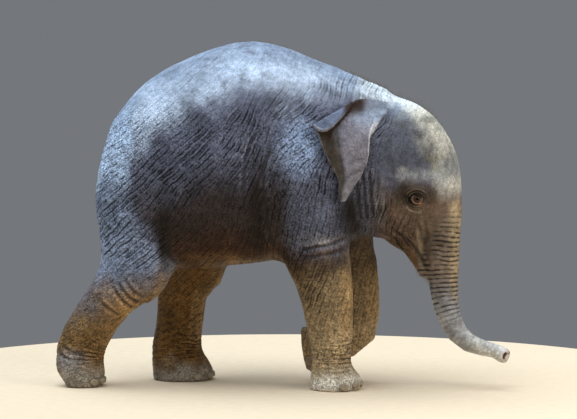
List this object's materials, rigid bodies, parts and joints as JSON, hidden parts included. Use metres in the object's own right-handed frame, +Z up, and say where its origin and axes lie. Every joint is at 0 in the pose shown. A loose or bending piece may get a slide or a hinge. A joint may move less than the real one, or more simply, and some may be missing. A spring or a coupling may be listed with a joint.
{
  "type": "asian elephant calf",
  "caption": "Life-size still model of an Asian elephant calf walking, with one forefoot lifted, one hind foot on tiptoe and the trunk reaching forward and down.",
  "frame": {"origin": "on the floor, under the middle of the animal's bounding box", "axes": "+X towards the head, along the animal's length; +Y to its left side; +Z up"},
  "size_m": [1.5102, 0.4986, 1.1441],
  "materials": {
    "skin": "matt wrinkled grey hide, paler on the back",
    "face": "matt brownish grey hide with folds",
    "leg": "matt dusty brown hide with ring folds",
    "ear": "matt thin pinkish grey hide",
    "eye": "wet brown eye",
    "nail": "dull horn",
    "hair": "coarse dark bristles"
  },
  "bodies": {
    "root": {"head": "face", "neck": "skin", "torso": "skin", "trunk_upper": "face", "trunk_middle": "face", "trunk_tip": "face", "lower_jaw": "face", "tail": "skin", "tail_tuft": "hair", "eye_right": "eye", "ear_right": "ear", "eye_left": "eye", "ear_left": "ear", "foreleg_right_upper": "skin", "foreleg_right_lower": "leg", "foreleg_right_foot": "leg", "foreleg_right_nail_1": "nail", "foreleg_right_nail_2": "nail", "foreleg_right_nail_3": "nail", "foreleg_right_nail_4": "nail", "foreleg_right_nail_5": "nail", "foreleg_left_upper": "skin", "foreleg_left_lower": "leg", "foreleg_left_foot": "leg", "foreleg_left_nail_1": "nail", "foreleg_left_nail_2": "nail", "foreleg_left_nail_3": "nail", "foreleg_left_nail_4": "nail", "foreleg_left_nail_5": "nail", "hindleg_right_upper": "skin", "hindleg_right_lower": "leg", "hindleg_right_foot": "leg", "hindleg_right_nail_1": "nail", "hindleg_right_nail_2": "nail", "hindleg_right_nail_3": "nail", "hindleg_right_nail_4": "nail", "hindleg_left_upper": "skin", "hindleg_left_lower": "leg", "hindleg_left_foot": "leg", "hindleg_left_nail_1": "nail", "hindleg_left_nail_2": "nail", "hindleg_left_nail_3": "nail", "hindleg_left_nail_4": "nail"}
  },
  "joints": []
}
